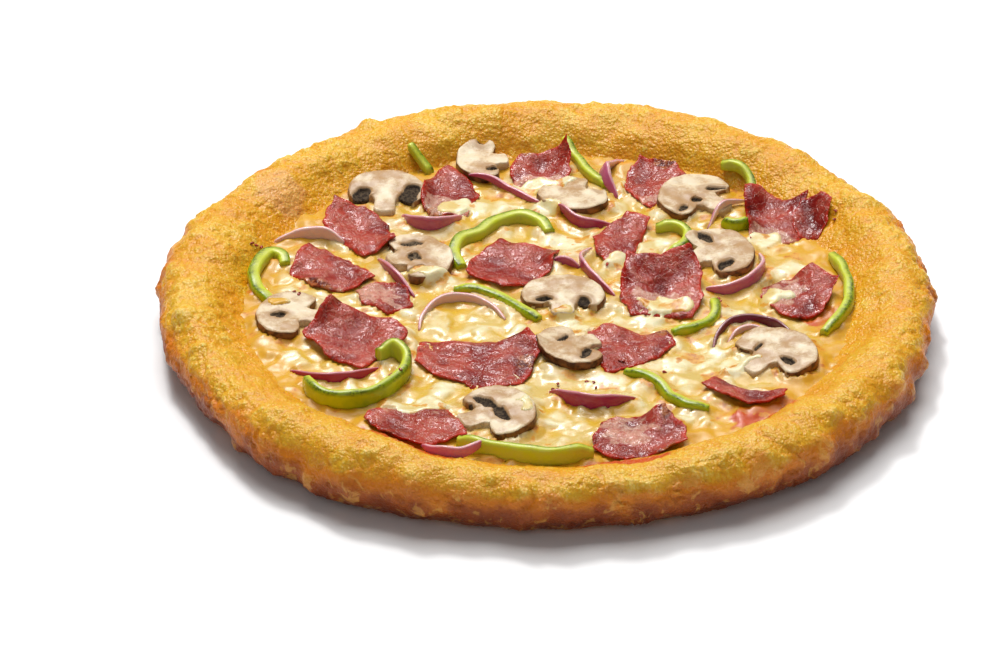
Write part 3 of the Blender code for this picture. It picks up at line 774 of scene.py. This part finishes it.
def makeBits(bed, material):
    bm = bmesh.new()
    rng = random.Random(4)
    ground = bed.softened(0, 1)
    for x, y, size in ham["bits"]:
        for _ in range(3):
            bx, by = x + rng.uniform(-0.8, 0.8) * size, y + rng.uniform(-0.8, 0.8) * size
            z = bed.read(ground, np.array([bx]), np.array([by]))[0]
            radius = rng.uniform(0.2, 0.34) * size
            made = bmesh.ops.create_icosphere(bm, subdivisions=3, radius=radius)["verts"]
            turn = rng.uniform(0, 6)
            c, s = math.cos(turn), math.sin(turn)
            for vert in made:
                px, py, pz = vert.co
                bump = 1 + 0.5 * noise.noise(vert.co * 0.9 + Vector((bx, by, 0)))
                turned = Vector((px * c - 0.6 * py * s, px * s + 0.6 * py * c, pz * 0.45))
                vert.co = turned * bump + Vector((bx, by, z + 0.2))
    mesh = meshOf("bits", bm)
    none = np.zeros(len(mesh.vertices))
    marks = {"edge": none, "film": none, "high": none + 0.5, "tan": none}
    makePiece("bits_look", mesh, placesOf(mesh), material, "ham", **marks)


# mushroom slices

mushroom = {
    "thick": 4.7,
    "dent": 1.6,
    "points": 128,
    "rings": 20,
    # how far it follows what lies below
    "drape": 0.35,
    "face": screen(222, 203, 170),
    "stain": screen(178, 140, 96),
    "skin": screen(140, 88, 46),
    "darkSkin": screen(72, 38, 18),
    "gill": screen(36, 24, 16),
    "greyGill": screen(136, 116, 90),
    "aroundGill": screen(164, 124, 82),
    # middle of the cap, width, turn, tilt, the stem in half widths, how grey its gills are,
    # and its dark gills: x, y, half length, half width, turn
    "slices": [
        (-25, 107.5, 26, 95, 0, 0.8, 0.6, [(-25, 120, 3, 2.5, 60), (-21, 100.5, 2.2, 1.5)]),
        (-62, 85, 30, -4, 8, 1.0, 0.3, [(-72, 81, 5, 3.6, 60), (-52.5, 82, 6.5, 3.4, 60)]),
        (10, 80, 28, 170, 0, 1.0, 0.6, [(20.5, 84.5, 2.5, 1.5, 20), (0, 73, 5, 1.6, -20)]),
        (57, 81, 33, 53, 3, 1.0, 0.6,
            [(65, 85, 4.2, 1.3, 10), (58, 76.5, 2.0, 1.8), (53, 70, 2.5, 1.5, 50)]),
        (-50, 33, 34, 288, 0, 0.7, 0.75,
            [(-52, 42, 4.0, 2.6, 20), (-51, 32, 3.6, 3.2, 60), (-50, 22, 4.2, 2.0, 30)]),
        (-99, -9, 32, 73, 0, 0.95, 0.4, [(-103, -11, 3.6, 2.8, 20)]),
        (66, 38, 34, 297, 3, 0.75, 0.3, [(61, 47.5, 5.0, 2.0, -55), (69, 27.5, 4.2, 2.4, 60)]),
        (6, 4, 33, 0, 4, 0.85, 0.3, [(-1, 0.5, 3.4, 1.8, 15), (14, -1, 3.0, 2.2, -25)]),
        (9, -35, 31, 121, 6, 0.8, 0.3, [(6, -30.5, 3.2, 1.4, 50), (15, -41, 4.6, 1.9, 65)]),
        (88, -38, 36, 315, 6, 0.95, 0.3, [(81, -35.5, 2.7, 1.0, 65), (92, -46, 3.6, 2.0, -40)]),
        (-19, -83, 36, 295, 6, 0.9, 0.3,
            [(-24, -77, 5.6, 2.2, -48), (-17.5, -86, 6.0, 2.3, -65), (-31, -80, 3.0, 3.0)]),
    ],
}


def mushroomMaterial():
    look = Look("mushroom")
    gill, skin, near, grey = look.marks("gill skin near grey")
    cloud = look.grain(9, 3, 0.5)
    fibre = look.grain(1.2, 4, 0.7)
    pale = (cloud * 1.0 + (fibre - 0.5) * 0.4).between(0.35, 0.65)
    look.colour = look.blend(pale, mushroom["stain"], mushroom["face"])
    skinny = look.blend(look.grain(3).between(0.35, 0.65), mushroom["skin"], mushroom["darkSkin"])
    look.coat((skin + (fibre - 0.5) * 0.5).between(0.3, 0.7), skinny)
    look.coat(near * (0.35 + fibre * 0.6), mushroom["aroundGill"])
    dark = look.blend(grey * fibre.between(0.4, 0.6), mushroom["gill"], mushroom["greyGill"])
    look.coat((gill + (fibre - 0.5) * 0.5).between(0.2, 0.65), dark)
    normal = look.bump(look.grain(3, 3, 0.5), 0.4, 0.5)
    rough = (0.4 + (fibre - 0.5) * 0.3 + gill * 0.6).limit()
    return look.done(rough, normal, 0.3, (0.15, 0.003, (1.0, 0.8, 0.5)))


def mushroomSide(half, foot):
    # right half of a slice's outline, from the top of the cap to the foot of the stem
    dome = [(half * math.sin(a), 0.8 * half * math.cos(a)) for a in np.radians(np.arange(0, 104, 8))]
    rim = [(0.94, -0.32), (0.85, -0.43), (0.7, -0.46), (0.5, -0.41), (0.36, -0.35), (0.27, -0.5)]
    stem = [(0.29 * half, 0.9 * foot), (0.2 * half, 0.99 * foot), (0, foot)]
    return dome + [(u * half, v * half) for u, v in rim] + stem


def makeMushroom(name, values, bed, material, seed):
    x, y, width, turn, tilt, stemLength, grey, spots = values
    half = width / 2
    side = mushroomSide(half, -stemLength * half)
    corners = [(-u, v, 0) for u, v in side] + [(u, v, 0) for u, v in reversed(side[1:-1])]
    ring = ringOf(corners, mushroom["points"])
    wobble = noiseOf(ring + seed * 7, 5, 0.4) * 0.7
    ring[:, :2] *= (1 + wobble / half)[:, None]
    mesh, places, share, level = slab(ring, mushroom["rings"])
    u, v = places[:, 0] / half, places[:, 1] / half
    c, s = math.cos(math.radians(turn)), math.sin(math.radians(turn))
    px, py = places[:, 0] * c - places[:, 1] * s + x, places[:, 0] * s + places[:, 1] * c + y
    flat = np.column_stack([u * half, v * half, np.full(len(u), seed * 3.0)])
    gill = inSpots(spots, px, py, 0.45, 2.6)
    larger = [(sx, sy, a + 2.2, b + 2.2, *way) for sx, sy, a, b, *way in spots]
    capEdge = np.where(v > -0.45, share, 0) * (np.abs(u) + np.clip(v, 0, 1) > 0.45)
    thick = mushroom["thick"] * (1 - 0.1 * share ** 6) * level - mushroom["dent"] * gill * level
    thick += 0.5 * noiseOf(flat, 4, 2.5) * level
    ground = bed.read(bed.softened(0, 3), px, py)
    rest = np.percentile(ground, 80) - 1.0
    drape = rest + mushroom["drape"] * (ground - rest)
    places = np.column_stack([px, py, drape + math.tan(math.radians(tilt)) * v * half + thick])
    bed.lay(places, True)
    marks = {
        "gill": gill * level,
        "skin": smooth(capEdge, 0.955, 0.985),
        "near": inSpots(larger, px, py, 0.4, 3) * level,
        "grey": np.full(len(u), grey),
    }
    makePiece(name + "_look", mesh, places, material, "mushroom", name, **marks)


# strips of pepper and onion

def alongLine(path, count):
    # a smooth line through the points of the path, evenly spaced, and its length
    path = [np.array(p, dtype=float) for p in path]
    ends = [2 * path[0] - path[1], *path, 2 * path[-1] - path[-2]]
    dense = []
    for a, b, c, d in zip(ends, ends[1:], ends[2:], ends[3:]):
        once, twice, thrice = c - a, 2 * a - 5 * b + 4 * c - d, 3 * b - a - 3 * c + d
        for t in np.arange(0, 1, 1 / 16):
            dense.append(0.5 * (2 * b + once * t + twice * t * t + thrice * t ** 3))
    dense = np.array(dense + [path[-1]])
    lengths = np.concatenate([[0], np.cumsum(np.linalg.norm(np.diff(dense, axis=0), axis=1))])
    want = np.linspace(0, lengths[-1], count)
    line = [np.interp(want, lengths, dense[:, i]) for i in (0, 1)]
    return np.column_stack(line), lengths[-1]


def strip(path, width, height, lean, taper, bed, sink, around=20):
    # a closed strip along the path: gives its mesh, its places, and for each vertex
    # its place across (-1 to 1) and its place up (0 to 1)
    line, length = alongLine(path, 60)
    stations = max(12, int(length / 1.1))
    profile = [(0, 0), (0.6, 0)] + [(1, i / stations) for i in range(stations + 1)] + [(0.6, 1), (0, 1)]
    mesh = spun(profile, around)
    unit = placesOf(mesh)
    along, angle, full = unit[:, 2], np.arctan2(unit[:, 1], unit[:, 0]), np.hypot(unit[:, 0], unit[:, 1])
    spot = along * (len(line) - 1)

    def here(values):
        return np.interp(spot, range(len(line)), values)

    x, y = here(line[:, 0]), here(line[:, 1])
    step = np.gradient(line, axis=0)
    step /= np.linalg.norm(step, axis=1)[:, None]
    dx, dy = here(step[:, 0]), here(step[:, 1])
    # rounded box section
    c, s = np.cos(angle), np.sin(angle)
    across = np.sign(c) * np.abs(c) ** 0.6 * full
    up = 0.5 + 0.5 * np.sign(s) * np.abs(s) ** 0.6 * full
    size = taper(along)
    # it bends over what lies below without kinks
    ground = bed.read(bed.softened(1, 3), line[:, 0], line[:, 1])
    ground = np.convolve(np.pad(ground, 10, mode="edge"), np.ones(21) / 21, "valid")
    tilt = math.radians(lean)
    side = across * width / 2 * np.sqrt(size)
    rise = up * height * size
    sideways = side * math.cos(tilt) + rise * math.sin(tilt)
    level = here(ground) - sink + (rise * math.cos(tilt) - side * math.sin(tilt))
    return mesh, np.column_stack([x - dy * sideways, y + dx * sideways, level]), across, up


pepper = {
    "sink": 1.2,
    "wander": 0.6,
    "skin": screen(196, 206, 20),
    "skinDark": screen(164, 182, 4),
    "rim": screen(104, 132, 8),
    "flesh": screen(196, 200, 66),
    "yellow": screen(210, 204, 40),
    "seared": screen(70, 78, 14),
    # path, thickness, height, and the side of the path that the skin is on
    "strips": [
        ([(-101, 31), (-102, 37), (-107, 39), (-111, 31), (-113, 20), (-110, 9), (-105, 2)], 5.0, 5.0, -1),
        ([(-33, 28), (-36, 38), (-33, 48), (-26, 53), (-20, 61), (-11, 66), (-3, 62),
            (1, 54)], 5.2, 5.5, 1),
        ([(-53, 111), (-49, 107), (-45, 103)], 3.4, 4.5, 1),
        ([(7, 121), (12, 111), (15, 103), (19, 96), (23, 91)], 4.0, 5.5, 1),
        ([(68, 99), (74, 97), (79, 90), (79, 80), (78, 72)], 3.6, 5.0, 1),
        ([(68, 61), (73, 58), (78, 61)], 3.4, 6.5, -1),
        ([(42, 58), (49, 58), (54, 53), (53, 44), (47, 38)], 4.0, 5.5, 1),
        ([(-36, 12), (-28, 11), (-20, 7), (-14, 0), (-8, -7), (-3, -12)], 4.2, 4.2, -1),
        ([(64, 3), (65, -6), (62, -14), (56, -19), (48, -22)], 4.0, 4.8, 1),
        ([(110, 37), (114, 26), (116, 13), (116, 1), (112, -11), (106, -21)], 4.2, 5.5, 1),
        ([(-92, -59), (-88, -70), (-79, -75), (-69, -73), (-61, -66), (-55, -56),
            (-54, -46), (-59, -39), (-65, -43)], 4.0, 8.5, -1),
        ([(30, -50), (38, -55), (44, -62), (48, -70), (54, -76), (62, -78)], 4.0, 4.6, -1),
        ([(-34, -104), (-23, -110), (-10, -114), (3, -116), (17, -112)], 4.0, 8.0, 1),
    ],
}

onion = {
    "sink": 1.0,
    "wander": 0.4,
    "skin": screen(208, 116, 150),
    "skinDark": screen(170, 24, 84),
    "skinBrown": screen(112, 14, 44),
    "inner": screen(232, 192, 184),
    "edge": screen(240, 206, 196),
    # path, thickness, height in the middle, lean, skin side, and how dark it is
    "strips": [
        ([(-56, 70), (-52, 62), (-45, 58), (-38, 60), (-33, 68)], 1.8, 7.5, 0, -1, 0.2),
        ([(-105, 50), (-96, 53), (-87, 52), (-78, 47)], 2.0, 6.0, 0, 1, 0.0),
        ([(-30, 96), (-20, 93), (-11, 85), (-3, 77)], 2.0, 4.0, 0, -1, 0.3),
        ([(27, 84), (22, 92), (21, 101), (26, 110), (30, 112)], 2.0, 7.0, -25, 1, 0.2),
        ([(4, 72), (11, 63), (18, 60), (27, 62)], 1.8, 6.0, 0, -1, 0.4),
        ([(-65, 38), (-62, 28), (-57, 19), (-51, 9)], 2.0, 5.5, 0, -1, 0.4),
        ([(-49, -17), (-48, -9), (-43, 0), (-36, 4), (-28, 3), (-21, -2),
            (-16, -10)], 1.8, 5.0, 0, 1, 0.2),
        ([(1, 33), (8, 31), (13, 29)], 1.8, 5.0, 0, -1, 0.3),
        ([(17, 43), (13, 34), (15, 25), (20, 16), (26, 7)], 1.8, 5.5, 0, -1, 0.3),
        ([(77, 78), (71, 75), (66, 69), (62, 61)], 1.5, 3.4, 0, -1, 0.4),
        ([(61, 11), (70, 11), (78, 16), (83, 26), (82, 38)], 2.0, 7.0, 0, -1, 0.15),
        ([(64, -31), (65, -24), (70, -16), (78, -13), (87, -16), (94, -26)], 1.8, 5.6, 0, 1, 1.0),
        ([(69, -27), (73, -21), (79, -18), (86, -21)], 1.6, 4.0, 0, 1, 0.0),
        ([(-98, -46), (-91, -53), (-82, -56), (-72, -53), (-64, -46)], 1.8, 5.2, 0, -1, 0.6),
        ([(1, -63), (8, -72), (18, -77), (27, -75), (34, -69)], 2.0, 7.8, 0, -1, 0.45),
        ([(-48, -107), (-44, -114), (-36, -117), (-28, -113), (-22, -105)], 1.8, 5.0, 0, -1, 0.05),
    ],
}


def pepperMaterial():
    look = Look("pepper")
    skin, rim = look.marks("skin rim")
    green = look.blend(look.grain(12, 3).between(0.35, 0.65), pepper["skin"], pepper["skinDark"])
    green = look.blend(look.grain(7, 2).between(0.55, 0.75) * 0.8, green, pepper["yellow"])
    pulp = look.blend(look.grain(4, 3).between(0.4, 0.7) * 0.8, pepper["flesh"], pepper["skin"])
    look.colour = look.blend((skin + (look.grain(1.5, 3) - 0.5) * 0.25).between(0.35, 0.6), pulp, green)
    look.coat(rim * 0.75, pepper["rim"])
    seared = rim * look.grain(1.4, 3, 0.7).between(0.46, 0.56) * look.grain(9, 2).between(0.35, 0.5)
    look.coat(seared * 0.85, pepper["seared"])
    normal = look.bump(look.grain(2.5, 3), 0.3, 0.4)
    return look.done(0.22 + (1 - skin) * 0.15, normal, 0.4, (0.25, 0.004, (0.8, 1.0, 0.2)))


def onionMaterial():
    look = Look("onion")
    skin, dark, top = look.marks("skin dark top")
    vein = look.grain(2.5, 3, 0.5, (1.0, 1.0, 2.5))
    red = look.blend((dark * 2.0 + (vein - 0.5) * 0.6).limit(), onion["skin"], onion["skinDark"])
    red = look.blend(dark.between(0.6, 1.0), red, onion["skinBrown"])
    skinned = (skin + (vein - 0.5) * 0.5 + dark * 0.7).between(0.35, 0.6)
    look.colour = look.blend(skinned, onion["inner"], red)
    look.coat(top.between(0.86, 0.98) * 0.5 * (1 - dark * 0.7), onion["edge"])
    normal = look.bump(vein, 0.25, 0.4)
    return look.done(0.25, normal, 0.55, (0.2, 0.003))


def pepperTaper(t):
    # nearly even, with blunt ends
    return 0.55 + 0.45 * np.sqrt(np.clip(np.sin(np.pi * np.clip(t, 0.02, 0.98)) * 3, 0, 1))


def onionTaper(t):
    # fullest in the middle, with thin ends
    return 0.16 + 0.84 * np.clip(np.sin(np.pi * np.clip(t, 0.0, 1.0)), 0, 1) ** 0.8


def makePepper(name, values, bed, material):
    path, width, height, side = values
    mesh, places, across, up = strip(path, width, height, 0, pepperTaper, bed, pepper["sink"])
    places += np.column_stack([noiseOf(places, 9, k) for k in (1.3, 2.6, 3.9)]) * pepper["wander"]
    bed.lay(places, True)
    skin = smooth(across * side - 0.5 * smooth(up, 0.75, 0.95), -0.1, 0.4)
    rim = smooth(up, 0.75, 0.98) * smooth(across * side, -0.3, 0.5)
    makePiece(name + "_look", mesh, places, material, "pepper", name, skin=skin, rim=rim)


def makeOnion(name, values, bed, material):
    path, width, height, lean, side, dark = values
    mesh, places, across, up = strip(path, width, height, lean, onionTaper, bed, onion["sink"])
    places += np.column_stack([noiseOf(places, 8, k) for k in (1.1, 2.2, 3.3)]) * onion["wander"]
    bed.lay(places, True)
    marks = {"skin": smooth(across * side, -0.3, 0.3), "dark": np.full(len(up), dark), "top": up}
    makePiece(name + "_look", mesh, places, material, "onion", name, **marks)


# all of the pizza

# the order in which the toppings are laid; their rows above are in the order of the numbers
stack = """
    pepper_03 pepper_04 pepper_05 pepper_07 pepper_08 pepper_10 pepper_12 pepper_13 pepper_02 pepper_01
    pepper_06 onion_06 mushroom_02 mushroom_06 mushroom_05 mushroom_07 pepper_09 onion_08 onion_13
    ham_02 ham_03 ham_04 ham_08 ham_10 ham_15 ham_16 ham_18 ham_14
    mushroom_03 mushroom_01 mushroom_04 mushroom_08 mushroom_09 mushroom_10 mushroom_11 onion_10
    onion_03 onion_05 ham_01 ham_09 ham_11 ham_12 ham_13 ham_17 ham_05 ham_06
    onion_02 ham_07 onion_01 onion_04 onion_07 onion_09 onion_11 onion_12 onion_14
    onion_15 onion_16 pepper_11
""".split()


def makePizza():
    bed = Bed()
    makeCrust(bed, cheese["sauce"])
    print("crust done")
    across = range(-118, 119)
    cells = np.array([(i, j) for i in across for j in across if math.hypot(i, j) < 118], dtype=float)
    bed.lay(np.column_stack([cells, cheeseLevel(cells[:, 0], cells[:, 1])]))
    hamLook, mushroomLook = hamMaterial(), mushroomMaterial()
    pepperLook, onionLook = pepperMaterial(), onionMaterial()
    for order, name in enumerate(stack):
        kind, number = name.split("_")
        row = int(number) - 1
        if kind == "ham":
            makeHam(name, ham["slices"][row], bed, hamLook)
        elif kind == "mushroom":
            makeMushroom(name, mushroom["slices"][row], bed, mushroomLook, order)
        elif kind == "pepper":
            makePepper(name, pepper["strips"][row], bed, pepperLook)
        else:
            makeOnion(name, onion["strips"][row], bed, onionLook)
    print("toppings done")
    makeCheese(bed)
    makeBits(bed, hamLook)
    print("cheese done")


makePizza()


# floor, light and camera

studio = {
    # lengths are in metres here
    "tone": 0.94,
    "size": 8.0,
    "elevation": 64.0,
    "distance": 3.0,
    "box": (2.2, 3.2),
    "power": 90.0,
    "spark": 44.0,
    "sparkSize": 0.5,
    "sparkPlace": (-0.5, 1.7, 2.4),
    "fill": 8.0,
    "fillSize": 1.6,
    "fillPlace": (-0.4, -2.4, 1.7),
    "sky": 0.16,
    "aim": (-0.01808, 0.00244, 0.00414),
    "cameraElevation": 30.5,
    "cameraDistance": 10.685,
    "lens": 1000.0,
    "sensor": 36,
    "clipEnd": 50,
}


def makeFloor():
    bm = bmesh.new()
    bmesh.ops.create_grid(bm, x_segments=1, y_segments=1, size=studio["size"])
    mesh = meshOf("floor", bm)
    floor = bpy.data.objects.new("floor", mesh)
    bpy.context.scene.collection.objects.link(floor)
    look = Look("floor")
    look.colour = (*[studio["tone"]] * 3, 1)
    mesh.materials.append(look.done(1.0, None, 0.0))


def makeLamps():
    a = math.radians(studio["elevation"])
    overhead = Vector((0, math.cos(a), math.sin(a))) * studio["distance"]
    small = (studio["sparkSize"], studio["sparkSize"])
    broad = (studio["fillSize"], studio["fillSize"])
    lamps = (
        ("softbox", overhead, studio["box"], studio["power"]),
        ("spark", Vector(studio["sparkPlace"]), small, studio["spark"]),
        ("fill", Vector(studio["fillPlace"]), broad, studio["fill"]),
    )
    for name, place, size, power in lamps:
        lamp = bpy.data.lights.new(name, "AREA")
        lamp.shape = "RECTANGLE"
        lamp.size, lamp.size_y = size
        lamp.energy = power
        holder = bpy.data.objects.new(name, lamp)
        holder.location = place
        holder.rotation_euler = (-place).to_track_quat("-Z", "Y").to_euler()
        bpy.context.scene.collection.objects.link(holder)
    world = bpy.data.worlds.new("studio")
    world.use_nodes = True
    sky = studio["sky"]
    world.node_tree.nodes["Background"].inputs[0].default_value = (sky, sky, sky, 1)
    bpy.context.scene.world = world


def makeCamera():
    lens = bpy.data.cameras.new("camera")
    lens.lens = studio["lens"]
    lens.sensor_width = studio["sensor"]
    lens.clip_end = studio["clipEnd"]
    camera = bpy.data.objects.new("camera", lens)
    a = math.radians(studio["cameraElevation"])
    aim = Vector(studio["aim"])
    camera.location = aim + Vector((0, -math.cos(a), math.sin(a))) * studio["cameraDistance"]
    camera.rotation_euler = (aim - camera.location).to_track_quat("-Z", "Y").to_euler()
    bpy.context.scene.collection.objects.link(camera)
    bpy.context.scene.camera = camera
    bpy.context.scene.view_settings.view_transform = "Standard"


makeFloor()
makeLamps()
makeCamera()
print("floor, lamps and camera done")
